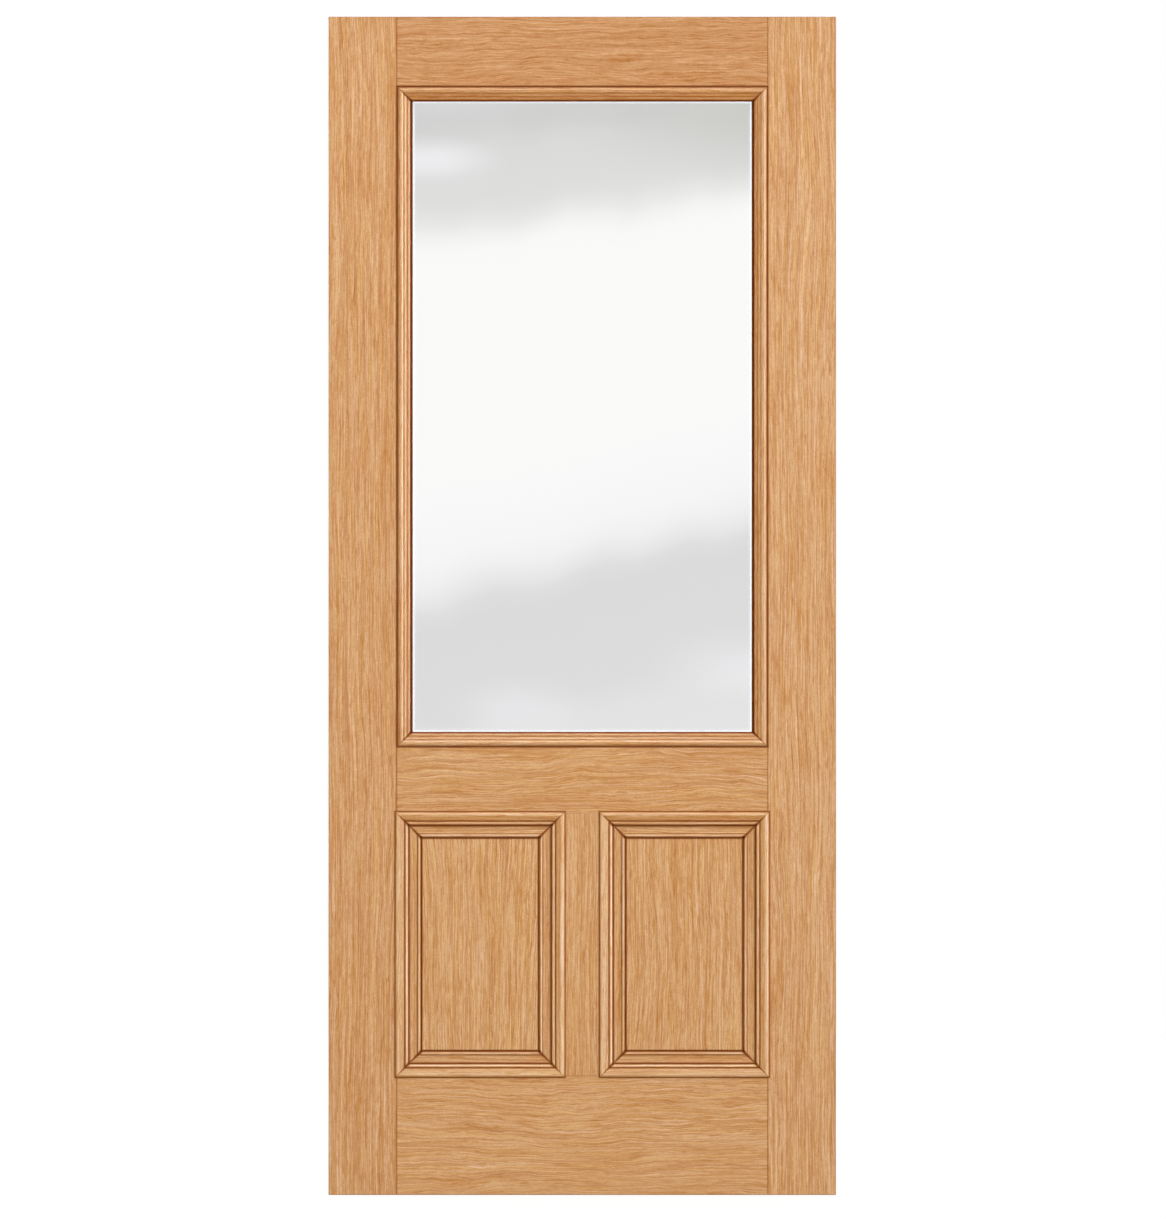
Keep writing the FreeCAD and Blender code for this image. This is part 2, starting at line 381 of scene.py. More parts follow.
def group_tree(name, inputs, outputs):
    """An empty node group with named sockets, and its input and output nodes."""
    tree = bpy.data.node_groups.new(name, "ShaderNodeTree")
    for way, sockets in (("INPUT", inputs), ("OUTPUT", outputs)):
        for label, kind in sockets:
            tree.interface.new_socket(label, in_out=way, socket_type="NodeSocket" + kind)
    return tree, add(tree, "NodeGroupInput").outputs, add(tree, "NodeGroupOutput").inputs


def bare_material(name):
    """A material with only its output."""
    made = bpy.data.materials.new(name)
    made.use_nodes = True
    made.node_tree.nodes.clear()
    output = add(made.node_tree, "ShaderNodeOutputMaterial")
    return made, made.node_tree, output


def new_material(name):
    """A material with its shader."""
    made, tree, output = bare_material(name)
    shader = add(tree, "ShaderNodeBsdfPrincipled")
    tree.links.new(shader.outputs["BSDF"], output.inputs["Surface"])
    return made, tree, shader


def object_place(tree):
    """A point's place in the object's own frame."""
    return add(tree, "ShaderNodeTexCoord").outputs["Object"]


# The oak. Waves bend the grain: each is waves a metre along the board and across
# it, and how far it pushes the grain, in metres. The broad ones are on every board,
# and a board has more or less of the others.
BROAD_WAVES = ((1.8, 5.0), 0.030)
BOARD_WAVES = (((5.0, 9.0), 0.020), ((15.0, 22.0), 0.009), ((36.0, 60.0), 0.0036))
SEED_SHIFT = 11.3

# Streaks: waves a metre along the board and across it, and how much they change its
# tone. The rings follow the pith, and have a third number for the way round it.
STREAKS = {
    "bands": ((1.2, 42.0), 0.4),
    "rings": ((3.0, 620.0, 30.0), 0.6),
    "lines": ((4.5, 450.0), 0.9),
    "threads": ((10.0, 700.0), 0.9),
    "flecks": ((75.0, 520.0), 0.7),
    "specks": ((300.0, 480.0), 0.65),
}
# Sparse marks have besides the stretch of the noise over which they show
MARKS = {
    "pores": ((24.0, 440.0), (0.59, 0.72), -0.1),
    "dark_lines": ((5.5, 380.0), (0.53, 0.70), -0.1),
    "pale_lines": ((3.5, 400.0), (0.57, 0.70), 0.22),
}
GOLDEN_PATCHES = ((6.0, 260.0), (0.35, 0.7))
LONG_STROKES = (5.0, 170.0)
SHORT_STROKES = (12.0, 250.0)
SHORT_STROKES_FADE = ((10.0, 90.0), (0.36, 0.6))
STROKE_WIDTH = 0.06
LONG_STROKE_RUST = 0.75
DARK_LINE_RUST = 0.6

OAK_TONES = (
    (0.0, (0.462, 0.162, 0.023, 1)), (0.5, (0.670, 0.368, 0.175, 1)),
    (1.0, (0.880, 0.640, 0.450, 1)),
)
OAK_GOLDEN = (1.0, 0.97, 0.77, 1)
OAK_RUST = (0.86, 0.69, 0.48, 1)
# Dark staining of the frame's joint lines and mitres, and painted shade, from none to the deepest
STAIN_AND_SHADE_TONES = (
    (0.0, WHITE), (0.3, (0.82, 0.69, 0.48, 1)), (0.65, (0.57, 0.34, 0.12, 1)),
    (1.0, (0.30, 0.105, 0.012, 1)),
)
OAK_ROUGHNESS = 0.40
LINES_ROUGHNESS = -0.12
STAIN_AND_SHADE_ROUGHNESS = 0.55
OAK_SPECULAR = 0.1
OAK_BUMP_STRENGTH = 0.12
OAK_BUMP_DEPTH = 0.12
SAWN_TILT = (0.95, 0.99)

# Painted shade and staining, in millimetres: round an opening, how far the painted
# shade beside the mouldings reaches over the frame and how strong it is. Along a strip,
# a line of painted shade lies at a place inward from the outer edge, and has a reach and a
# strength, and so does each painted highlight on a crest. The last line of a strip is its
# inner corner. The mitres and the frame's joint lines are stained dark, and a panel's
# field has painted shade round its edge.
OPENING_JOINT_SHADES = (
    ("front_glazing_moulding_", 3.4, 0.85),
    ("left_panel_front_moulding_", 2.4, 0.75),
    ("right_panel_front_moulding_", 2.4, 0.75),
)
GLAZING_SHADE_LINES = ((0.4, 2.8, 0.9), (19.3, 8.0, 0.28), (25.0, 2.4, 0.9))
GLAZING_CREST_HIGHLIGHTS = ((9.0, 2.8, 0.4), (16.0, 1.6, 0.4))
MOULDING_SHADE_LINES = ((0.0, 2.0, 0.9), (17.1, 2.0, 0.78), (24.7, 2.6, 1.0))
MOULDING_CREST_HIGHLIGHTS = ((5.8, 4.4, 0.75), (21.2, 2.4, 0.8))
BORDER_SHADE_LINES = ((21.4, 4.8, 1.0), (37.0, 1.8, 0.6), (44.3, 3.2, 1.0))
BORDER_CREST_HIGHLIGHTS = ((39.2, 2.8, 0.5),)
MITRE_STAIN_REACH = 0.8
MITRE_STAIN_GROWTH = 4.6
MITRE_STAIN_CORE = 0.2
JOINT_REACH = 2.0
JOINT_STAIN = 0.6
MUNTIN_JOINT_STAIN = 0.15
RAIL_EDGE_EASE = 3.0
# A panel's field has painted shade round its edge, beside the border's bead: its reach and
# strength
PANEL_REACH = 2.6
PANEL_EDGE_SHADE = 0.9

# The other finishes
CLEAR_GLASS = (0.98, 0.985, 0.985, 1)
COATED_GLASS = (0.955, 0.955, 0.95, 1)
GLASS_IOR = 1.52
TAPE_LEVEL = (0.29, 0.070, 0.008, 1)
TAPE_UPRIGHT = (0.17, 0.036, 0.003, 1)
TAPE_UPRIGHT_FROM = 12.5
TAPE_UPRIGHT_FULL = 11.0
TAPE_MOTTLE = (90.0, 2.0)
TAPE_ROUGHNESS = (0.65, 0.85)
TAPE_SPECULAR = 0.02
SPACER_METAL = (0.93, 0.94, 0.96)
PIN_STEEL = (0.035, 0.012, 0.004)
PLAIN_MOTTLE = (300.0, 3.0)
PLAIN_ROUGHNESS_SWING = 0.05
MOTTLE_STRETCH = (0.3, 0.7)


def oak_group():
    """Oak from a board's own coordinates: X along the grain, Y across the face,
    Z into the board. Fine straight streaks run along it, and fainter ones follow
    the growth rings, which lie round a pith line behind the board, so that a
    board near its pith shows arches."""
    tree, given, made = group_tree(
        "oak_grain",
        (("Board", "Vector"), ("Seed", "Float"), ("Pith Across", "Float"),
         ("Pith Behind", "Float"), ("Pith Lean", "Float"), ("Wave", "Float"),
         ("Fan", "Float"), ("Fan From", "Float"), ("Tone", "Float"), ("Contrast", "Float"),
         ("Golden", "Float"), ("Stain And Shade", "Float")),
        (("Color", "Color"), ("Roughness", "Float"), ("Height", "Float")),
    )
    place = split(tree, given["Board"])
    shifted = calc(tree, "MULTIPLY_ADD", given["Seed"], SEED_SHIFT, place["X"])
    sample = combined(tree, shifted, place["Y"], place["Z"])

    # How far the grain wanders across the board, with the fan that opens it upward
    waves = 0.0
    for rates, push in BOARD_WAVES:
        waves = weighed(tree, streaks(tree, sample, *rates), push, waves)
    rates, push = BROAD_WAVES
    wander = weighed(tree, streaks(tree, sample, *rates), push,
                     calc(tree, "MULTIPLY", waves, given["Wave"]))
    from_pith = calc(tree, "SUBTRACT", place["Y"], given["Pith Across"])
    fan = calc(tree, "MULTIPLY", given["Fan"],
               calc(tree, "SUBTRACT", place["X"], given["Fan From"]))
    wander = calc(tree, "MULTIPLY_ADD", fan, from_pith, wander)

    # The straight streaks' coordinates, and the rings', by distance from the pith
    level_across = calc(tree, "ADD", place["Y"], wander)
    across = calc(tree, "ADD", from_pith, wander)
    depth = calc(tree, "MULTIPLY_ADD", place["X"], given["Pith Lean"], place["Z"])
    depth = calc(tree, "SUBTRACT", depth, given["Pith Behind"])
    radius = calc(tree, "SQRT", calc(tree, "MULTIPLY_ADD", across, across,
                                     calc(tree, "MULTIPLY", depth, depth)))
    straight = combined(tree, shifted, level_across, place["Z"])
    curved = combined(tree, shifted, radius, level_across)

    def shown(rates, stretch):
        return spread(tree, streaks(tree, straight, *rates), *stretch)

    def strokes(rates):
        line = streaks(tree, straight, *rates, detail=0.0)
        off = calc(tree, "ABSOLUTE", calc(tree, "SUBTRACT", line, 0.5))
        return spread(tree, off, 0.0, STROKE_WIDTH, 1.0, 0.0)

    level, grain = 0.0, {}
    for name, (rates, weight) in STREAKS.items():
        grain[name] = streaks(tree, curved if name == "rings" else straight, *rates)
        level = weighed(tree, grain[name], weight, level)
    for name, (rates, stretch, weight) in MARKS.items():
        grain[name] = shown(rates, stretch)
        level = calc(tree, "MULTIPLY_ADD", grain[name], weight, level)
    level = calc(tree, "MULTIPLY_ADD", level, given["Contrast"],
                 calc(tree, "ADD", given["Tone"], 0.5))

    long_strokes = calc(tree, "MULTIPLY", strokes(LONG_STROKES), LONG_STROKE_RUST)
    short_strokes = calc(tree, "MULTIPLY", strokes(SHORT_STROKES), shown(*SHORT_STROKES_FADE))
    rust = calc(tree, "MAXIMUM", long_strokes, short_strokes)
    rust = calc(tree, "MAXIMUM", grain["pores"], rust)
    rust = calc(tree, "MAXIMUM", calc(tree, "MULTIPLY", grain["dark_lines"], DARK_LINE_RUST), rust)
    rust = calc(tree, "MULTIPLY", rust, given["Contrast"])
    golden = calc(tree, "ADD", shown(*GOLDEN_PATCHES), given["Golden"])

    # A level of 0.5 is the middle tone
    shade = ramp(tree, calc(tree, "MULTIPLY_ADD", level, 0.5, 0.25), OAK_TONES)
    # The last multiply darkens the wood by the dark staining of joint lines and mitres, and by
    # painted shade in quirks, along edges where parts meet and round the openings
    for share, cast in ((golden, OAK_GOLDEN), (rust, OAK_RUST),
                        (1.0, ramp(tree, given["Stain And Shade"], STAIN_AND_SHADE_TONES))):
        shade = blend(tree, share, shade, cast, "MULTIPLY")
    tree.links.new(shade, made["Color"])
    rough = calc(tree, "MULTIPLY_ADD", grain["lines"], LINES_ROUGHNESS, OAK_ROUGHNESS)
    rough = calc(tree, "MULTIPLY_ADD", given["Stain And Shade"], STAIN_AND_SHADE_ROUGHNESS, rough)
    tree.links.new(rough, made["Roughness"])
    height = calc(tree, "MULTIPLY", grain["pores"], -1.0)
    height = weighed(tree, grain["lines"], 0.5, height)
    height = weighed(tree, grain["threads"], 0.5, height)
    tree.links.new(height, made["Height"])
    return tree


def edge_group():
    """Darkening round a flat piece, strongest at the edges of its face: dark staining along
    the frame's joint lines, and painted shade round the edge of a panel's field.
    """
    tree, given, made = group_tree(
        "joint_stain_and_edge_shade",
        (("Position", "Vector"), ("Low", "Vector"), ("High", "Vector"), ("Reach", "Float"),
         ("Strength", "Float")),
        (("Stain And Shade", "Float"),),
    )
    from_low = vector_calc(tree, "SUBTRACT", given["Position"], given["Low"])
    from_high = vector_calc(tree, "SUBTRACT", given["High"], given["Position"])
    gap = split(tree, vector_calc(tree, "MINIMUM", from_low, from_high))
    near = calc(tree, "DIVIDE", calc(tree, "MINIMUM", gap["X"], gap["Z"]), given["Reach"])
    stain_and_shade = calc(tree, "MULTIPLY", spread(tree, near, 0.0, 1.0, 1.0, 0.0), given["Strength"])
    tree.links.new(stain_and_shade, made["Stain And Shade"])
    return tree


def opening_group():
    """Painted shade on the frame close round the glazing and the two panels, beside the
    mouldings, over the dark line where they meet the frame.
    """
    tree, given, made = group_tree("opening_joint_shade", (("Position", "Vector"),),
                                   (("Stain And Shade", "Float"),))
    part = split(tree, given["Position"])
    stain_and_shade = 0.0
    for names, reach, strength in OPENING_JOINT_SHADES:
        low, high = rectangle_of(names + "left", names + "right")
        sides = []
        for axis, i in (("X", 0), ("Z", 2)):
            middle, half = (low[i] + high[i]) / 2, (high[i] - low[i]) / 2
            out = calc(tree, "ABSOLUTE", calc(tree, "SUBTRACT", part[axis], middle))
            sides.append(calc(tree, "SUBTRACT", out, half))
        away = calc(tree, "MAXIMUM", *sides)
        near = spread(tree, away, 0.0, reach * MM, strength, 0.0)
        stain_and_shade = calc(tree, "MAXIMUM", near, stain_and_shade)
    tree.links.new(stain_and_shade, made["Stain And Shade"])
    return tree


def strip_group(name, shade_lines, crest_highlights):
    """Painted shade in the quirks and along the edges of a strip, dark staining in its mitres,
    and how much paler each crest is, as a painted highlight. The mitre's line grows wider and
    darker towards the inner corner."""
    tree, given, made = group_tree(name, (("Place", "Vector"),),
                                   (("Stain And Shade", "Float"), ("Painted Highlight", "Float")))
    part = split(tree, given["Place"])

    def strongest(lines):
        most = 0.0
        for at, reach, strength in lines:
            gap = calc(tree, "ABSOLUTE", calc(tree, "SUBTRACT", part["X"], at * MM))
            line = spread(tree, gap, 0.0, reach * MM, strength, 0.0)
            most = calc(tree, "MAXIMUM", line, most)
        return most

    # Painted highlight: a paler band along each crest
    tree.links.new(strongest(crest_highlights), made["Painted Highlight"])
    inward = calc(tree, "DIVIDE", part["X"], shade_lines[-1][0] * MM)
    reach = calc(tree, "MULTIPLY_ADD", calc(tree, "MULTIPLY", inward, inward),
                 MITRE_STAIN_GROWTH * MM, MITRE_STAIN_REACH * MM)
    near = calc(tree, "DIVIDE", calc(tree, "MINIMUM", part["Y"], part["Z"]), reach)
    mitre = spread(tree, near, MITRE_STAIN_CORE, 1.0, 1.0, 0.0)
    dark = calc(tree, "MULTIPLY_ADD", inward, 0.5, 0.5)
    # The darker of the mitre's dark staining and the strongest line of painted shade
    stain_and_shade = calc(tree, "MAXIMUM", calc(tree, "MULTIPLY", mitre, dark), strongest(shade_lines))
    tree.links.new(stain_and_shade, made["Stain And Shade"])
    return tree


OAK = oak_group()
EDGE = edge_group()
ROUND_OPENINGS = opening_group()
GLAZING_LINES = strip_group("glazing_stain_shade_highlight", GLAZING_SHADE_LINES, GLAZING_CREST_HIGHLIGHTS)
MOULDING_LINES = strip_group("moulding_stain_shade_highlight", MOULDING_SHADE_LINES, MOULDING_CREST_HIGHLIGHTS)
BORDER_LINES = strip_group("border_stain_shade_highlight", BORDER_SHADE_LINES, BORDER_CREST_HIGHLIGHTS)


# Finishes


def oak(name, upright, seed, across, behind, lean, wave, tone=0.0, fan=0.0, fan_from=0.0,
        contrast=1.0, golden=0.0):
    """Lacquered oak, with no staining or painted shade yet. The grain runs up the piece or
    across it. The top and bottom edges of the leaf are sawn, and so matt."""
    made, tree, shader = new_material(name)
    coordinates = add(tree, "ShaderNodeTexCoord").outputs
    position = coordinates["Object"]
    part = split(tree, position)
    order = ("Z", "X", "Y") if upright else ("X", "Z", "Y")
    board = combined(tree, *(part[axis] for axis in order))
    group = add(tree, "ShaderNodeGroup", {
        "Board": board, "Seed": seed, "Pith Across": across, "Pith Behind": behind,
        "Pith Lean": lean, "Wave": wave, "Fan": fan, "Fan From": fan_from, "Tone": tone,
        "Contrast": contrast, "Golden": golden}, node_tree=OAK)
    tree.links.new(group.outputs["Color"], shader.inputs["Base Color"])
    upward = calc(tree, "ABSOLUTE", split(tree, coordinates["Normal"])["Z"])
    rough = calc(tree, "MAXIMUM", group.outputs["Roughness"], spread(tree, upward, *SAWN_TILT))
    tree.links.new(rough, shader.inputs["Roughness"])
    bump = add(tree, "ShaderNodeBump", {
        "Height": group.outputs["Height"], "Strength": OAK_BUMP_STRENGTH,
        "Distance": OAK_BUMP_DEPTH * MM})
    tree.links.new(bump.outputs["Normal"], shader.inputs["Normal"])
    shader.inputs["Specular IOR Level"].default_value = OAK_SPECULAR
    return made, tree, group, position


def flat_oak(name, upright, seed, low, high, reach, strength, round_openings=False, **grain):
    """Oak of a flat piece, darkened along the edges of its face, on a frame member by dark
    staining at its joint lines and outer edges and on a panel by painted shade round its
    field, and where it is asked for, with painted shade round the openings of the frame."""
    made, tree, group, position = oak(name, upright, seed, **grain)
    joints_and_edge_shade = add(tree, "ShaderNodeGroup", {
        "Position": position, "Low": low, "High": high, "Reach": reach * MM,
        "Strength": strength}, node_tree=EDGE)
    stain_and_shade = joints_and_edge_shade.outputs["Stain And Shade"]
    if round_openings:
        openings = add(tree, "ShaderNodeGroup", {"Position": position}, node_tree=ROUND_OPENINGS)
        stain_and_shade = calc(tree, "MAXIMUM", stain_and_shade, openings.outputs["Stain And Shade"])
    tree.links.new(stain_and_shade, group.inputs["Stain And Shade"])
    return made


def strip_oak(name, upright, seed, lines, tone, **grain):
    """Oak of a moulded strip, with painted shade in its quirks and along its edges, dark
    staining in its mitres, and a painted highlight on each crest.
    """
    made, tree, group, _ = oak(name, upright, seed, **grain)
    place = add(tree, "ShaderNodeAttribute", attribute_name=STRIP_PLACE).outputs["Vector"]
    stain_and_shade = add(tree, "ShaderNodeGroup", {"Place": place}, node_tree=lines)
    tree.links.new(stain_and_shade.outputs["Stain And Shade"], group.inputs["Stain And Shade"])
    # Each crest's painted highlight raises the tone
    tree.links.new(calc(tree, "ADD", stain_and_shade.outputs["Painted Highlight"], tone), group.inputs["Tone"])
    return made


def plain_finish(name, colour, roughness, speckle, metallic=0.0):
    """A finish with slight variation of colour and gloss over the surface."""
    made, tree, shader = new_material(name)
    mottle = noise(tree, object_place(tree), *PLAIN_MOTTLE)
    dark = tuple(c * (1 - speckle) for c in colour) + (1,)
    light = tuple(min(1.0, c * (1 + speckle)) for c in colour) + (1,)
    tree.links.new(blend(tree, mottle, dark, light), shader.inputs["Base Color"])
    rough = spread(tree, mottle, *MOTTLE_STRETCH, roughness - PLAIN_ROUGHNESS_SWING,
                   roughness + PLAIN_ROUGHNESS_SWING)
    tree.links.new(rough, shader.inputs["Roughness"])
    shader.inputs["Metallic"].default_value = metallic
    return made


def glass_finish(name, tint):
    """Clear float glass with a faint cast."""
    made, _, shader = new_material(name)
    shader.inputs["Base Color"].default_value = tint
    shader.inputs["Roughness"].default_value = 0.0
    shader.inputs["IOR"].default_value = GLASS_IOR
    shader.inputs["Transmission Weight"].default_value = 1.0
    return made


def seal_finish():
    """Brown glazing tape, darker down the two upright sides."""
    made, tree, shader = new_material("glazing_tape")
    low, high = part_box("front_glazing_seal")
    middle, half = (low.x + high.x) / 2, (high.x - low.x) / 2
    position = object_place(tree)
    out = calc(tree, "SUBTRACT", split(tree, position)["X"], middle)
    upright = spread(tree, calc(tree, "ABSOLUTE", out), half - TAPE_UPRIGHT_FROM * MM,
                     half - TAPE_UPRIGHT_FULL * MM)
    mottle = noise(tree, position, *TAPE_MOTTLE)
    upright = weighed(tree, mottle, 0.5, upright)
    tree.links.new(blend(tree, upright, TAPE_LEVEL, TAPE_UPRIGHT), shader.inputs["Base Color"])
    rough = spread(tree, mottle, *MOTTLE_STRETCH, *TAPE_ROUGHNESS)
    tree.links.new(rough, shader.inputs["Roughness"])
    shader.inputs["Specular IOR Level"].default_value = TAPE_SPECULAR
    return made


# The leaf


def finish_node(node, material):
    """Gives a CAD piece its finish."""
    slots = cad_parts[node].data.materials
    slots.clear()
    slots.append(material)


def frame_boards():
    """The board that each frame member is cut from. Across is where its pith lies, and
    lift is the same on a rail, from the middle of its face."""
    middle = (cad_low.x + cad_high.x) / 2
    stile = dict(upright=True, behind=0.12, wave=0.3, contrast=1.12)
    rail = dict(upright=False, wave=1.2)
    return {
        "hinge_stile": dict(stile, across=cad_low.x - 0.16, lean=0.003),
        "lock_stile": dict(stile, across=cad_high.x + 0.18, lean=-0.003, tone=0.1),
        "muntin": dict(upright=True, across=middle + 0.05, behind=0.07, lean=0.02, wave=0.4,
                       tone=0.08, contrast=1.03, golden=0.25),
        "top_rail": dict(rail, lift=-0.02, behind=0.065, lean=0.05, tone=-0.27, contrast=0.95,
                         golden=-1.0),
        "middle_rail": dict(rail, lift=0.05, behind=0.075, lean=-0.03, tone=-0.01,
                            contrast=0.98, golden=0.15),
        "bottom_rail": dict(rail, lift=0.03, behind=0.065, lean=0.04, tone=0.06, contrast=0.96,
                            golden=0.2),
    }


def dress_frame_members():
    """Stiles, rails and muntin in oak. Tenons and tongues don't show, so a member's face
    ends at its shoulders. A rail's face is taken further out at the edges where the
    mouldings lie, so that its own dark staining is fainter there, where the painted shade
    round the openings lies."""
    stile_edges = (cad_low.x + STILE_WIDTH * MM, cad_high.x - STILE_WIDTH * MM)
    rail_edges = (cad_low.z + PANEL_OPENING_LOW * MM, cad_low.z + PANEL_OPENING_HIGH * MM)
    for i, (node, grain) in enumerate(frame_boards().items()):
        low, high = (corner.copy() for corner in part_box(node))
        if node.endswith("rail"):
            low.x, high.x = stile_edges
            if low.z > cad_low.z + EDGE_CLOSENESS * MM:
                low.z -= RAIL_EDGE_EASE * MM
            if high.z < cad_high.z - EDGE_CLOSENESS * MM:
                high.z += RAIL_EDGE_EASE * MM
        elif node == "muntin":
            low.z, high.z = rail_edges
        elif node == "hinge_stile":
            high.x = stile_edges[0]
        else:
            low.x = stile_edges[1]
        lift = grain.pop("lift", 0.0)
        grain.setdefault("across", (low.z + high.z) / 2 + lift)
        strength = MUNTIN_JOINT_STAIN if node == "muntin" else JOINT_STAIN
        finish_node(node, flat_oak("oak_" + node, seed=1.0 + i, low=low, high=high,
                                   reach=JOINT_REACH, strength=strength, round_openings=True,
                                   **grain))


def dress_panels():
    """The two panels, flat sawn, so that their grain shows arches."""
    for i, side in enumerate(("left", "right")):
        low, high = rectangle_of(side + "_panel_front_upright_borders",
                                 side + "_panel_front_level_borders")
        field_low, field_high = grown(low, high, -BORDER_WIDTH)
        # Painted shade round the field's edge, beside the border's bead
        finish_node(side + "_panel", flat_oak(
            f"oak_{side}_panel", True, 9.0 + i, field_low, field_high, PANEL_REACH, PANEL_EDGE_SHADE,
            across=(low.x + high.x) / 2, behind=0.05, lean=(-0.05, 0.05)[i], wave=0.5,
            fan=(-0.5, 0.5)[i], fan_from=(low.z + high.z) / 2, tone=0.09, contrast=1.15,
            golden=0.25))


def dress_glass():
    """Panes and seals."""
    finish_node("outer_glass_pane", glass_finish("clear_glass", CLEAR_GLASS))
    finish_node("inner_glass_pane", glass_finish("coated_glass", COATED_GLASS))
    seal = seal_finish()
    for face, _ in FACES:
        finish_node(face + "_glazing_seal", seal)


def build_spacer():
    """The bar between the panes, a hair clear of both, so that its bright face shows."""
    low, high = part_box("glass_spacer_bar")
    corners = []
    for inset in (0.0, SPACER_WIDTH * MM):
        x0, x1, z0, z1 = low.x + inset, high.x - inset, low.z + inset, high.z - inset
        for y in (low.y + SPACER_GAP * MM, high.y - SPACER_GAP * MM):
            corners += [(x0, y, z0), (x1, y, z0), (x1, y, z1), (x0, y, z1)]
    faces = []
    for i in range(4):
        j = (i + 1) % 4
        faces += [(i, j, 4 + j, 4 + i), (8 + j, 8 + i, 12 + i, 12 + j),
                  (j, i, 8 + i, 8 + j), (4 + i, 4 + j, 12 + j, 12 + i)]
    mesh = mesh_of("glass_spacer", corners, turned_over(faces))
    finish = plain_finish("spacer_aluminium", SPACER_METAL, 0.15, speckle=0.02, metallic=1.0)
    place_piece("glass_spacer", mesh, finish, "spacer_metal", "glass_spacer_bar")


def strip_finishes(kind, seed, lines, golden, side_shades=(0.0, 0.0, 0.0, 0.0)):
    """The oak of one kind of strip, its grain running along each side of the ring. Each side's
    tone is shifted darker or lighter, as painted shade and light.
    """
    return {side: strip_oak(f"oak_{kind}_{side}", side in UPRIGHT_SIDES, seed + i, lines,
                            side_shades[i], across=0.0, behind=0.4, lean=0.006, wave=0.3,
                            golden=golden)
            for i, side in enumerate(SIDES)}


def build_ring(names, nodes, points, finishes, clearance, outward):
    """Four mitred strips, over the CAD nodes of the four sides. The ring is wider
    than those by a clearance, from which its section starts."""
    low, high = grown(*rectangle_of(*set(nodes.values())), clearance)
    for side, (place, length) in side_places(low, high, outward).items():
        mesh = strip_mesh(names[side], points, length, place)
        place_piece(names[side], mesh, finishes[side], "oak_moulding", nodes[side])


def build_mouldings():
    """Every moulding and border, front and back."""
    # Each side's tone is painted shade and light for how the light falls: the top strips darker,
    # the glazing's left strip a little darker and its bottom strip a little lighter
    glazing = strip_finishes("glazing_moulding", 20.0, GLAZING_LINES, 0.0,
                             (0.05, 0.0, -0.3, -0.1))
    moulding = strip_finishes("panel_moulding", 24.0, MOULDING_LINES, 0.25,
                              (0.0, 0.0, -0.3, 0.0))
    border = strip_finishes("panel_border", 28.0, BORDER_LINES, 0.25)
    for face, outward in FACES:
        names = {side: f"{face}_glazing_moulding_{side}" for side in SIDES}
        build_ring(names, names, glazing_section(), glazing, GLAZING_CLEARANCE, outward)
        for panel in ("left", "right"):
            start = f"{panel}_panel_{face}_"
            names = {side: start + "moulding_" + side for side in SIDES}
            build_ring(names, names, moulding_section(), moulding, 0.0, outward)
            names = {side: start + "border_" + side for side in SIDES}
            nodes = {side: start + ("upright" if side in UPRIGHT_SIDES else "level")
                     + "_borders" for side in SIDES}
            build_ring(names, nodes, border_section(), border, BORDER_CLEARANCE, outward)


def dome(centre, outward):
    """Corners and faces of a pin's low round head, standing out along Y."""
    verts = []
    radius, height = PIN_RADIUS * MM, PIN_HEIGHT * MM
    for share, up in HEAD_LEVELS:
        for i in range(HEAD_SIDES):
            turn = math.tau * i / HEAD_SIDES
            verts.append(centre + Vector((math.cos(turn) * radius * share, outward * height * up,
                                          math.sin(turn) * radius * share)))
    faces = tube_faces(len(HEAD_LEVELS), HEAD_SIDES)
    return verts, turned_over(faces) if outward > 0 else faces


def build_glazing_pins():
    """Dark pin heads in the tape round the glass, where the strips are pinned."""
    low, high = rectangle_of("front_glazing_moulding_left", "front_glazing_moulding_right")
    side = (GLAZING_WIDTH + PIN_FROM_SIDE_STRIP) * MM
    level = (GLAZING_WIDTH + PIN_FROM_LEVEL_STRIP) * MM
    places = []
    for x, heights in ((low.x + side, LEFT_PINS), (high.x - side, RIGHT_PINS)):
        places += [(x, cad_low.z + z * MM) for z in heights]
    for z, distances in ((high.z - level, TOP_PINS), (low.z + level, BOTTOM_PINS)):
        places += [(cad_low.x + x * MM, z) for x in distances]
    finish = plain_finish("pin_steel_dark", PIN_STEEL, 0.5, speckle=0.2)
    for face, outward in FACES:
        verts, faces = [], []
        for x, z in places:
            more, sides = dome(Vector((x, outward * (SEAL_FACE - PIN_SINK) * MM, z)), outward)
            faces += [tuple(len(verts) + i for i in side) for side in sides]
            verts += more
        name = face + "_glazing_pins"
        place_piece(name, mesh_of(name, verts, faces), finish, "brown_seal")


# Stage. Distances are in metres. The camera is a long lens, in millimetres. Each key
# light is where it shines from, its strength and the strength of its sheen.

LENS = 400.0
SENSOR = 36.0
CAMERA_REACH = 100.0
FILL = 0.45
KEY_LIGHTS = (
    ("side", (1.0, -1.0, 0.0), 1.42, 18.0),
    ("top", (0.0, -1.0, 1.0), 1.20, 9.0),
)
KEY_SPREAD = 26.0
SHEEN_COLOUR = (1.0, 0.98, 0.92)
FLOOR_REACH = 9.0
FLOOR_DROP = 1.0 * MM
FLOOR_COLOUR = (0.16, 0.16, 0.16, 1)
FLOOR_SHOWN = 0.88
FLOOR_GLOW = 0.34

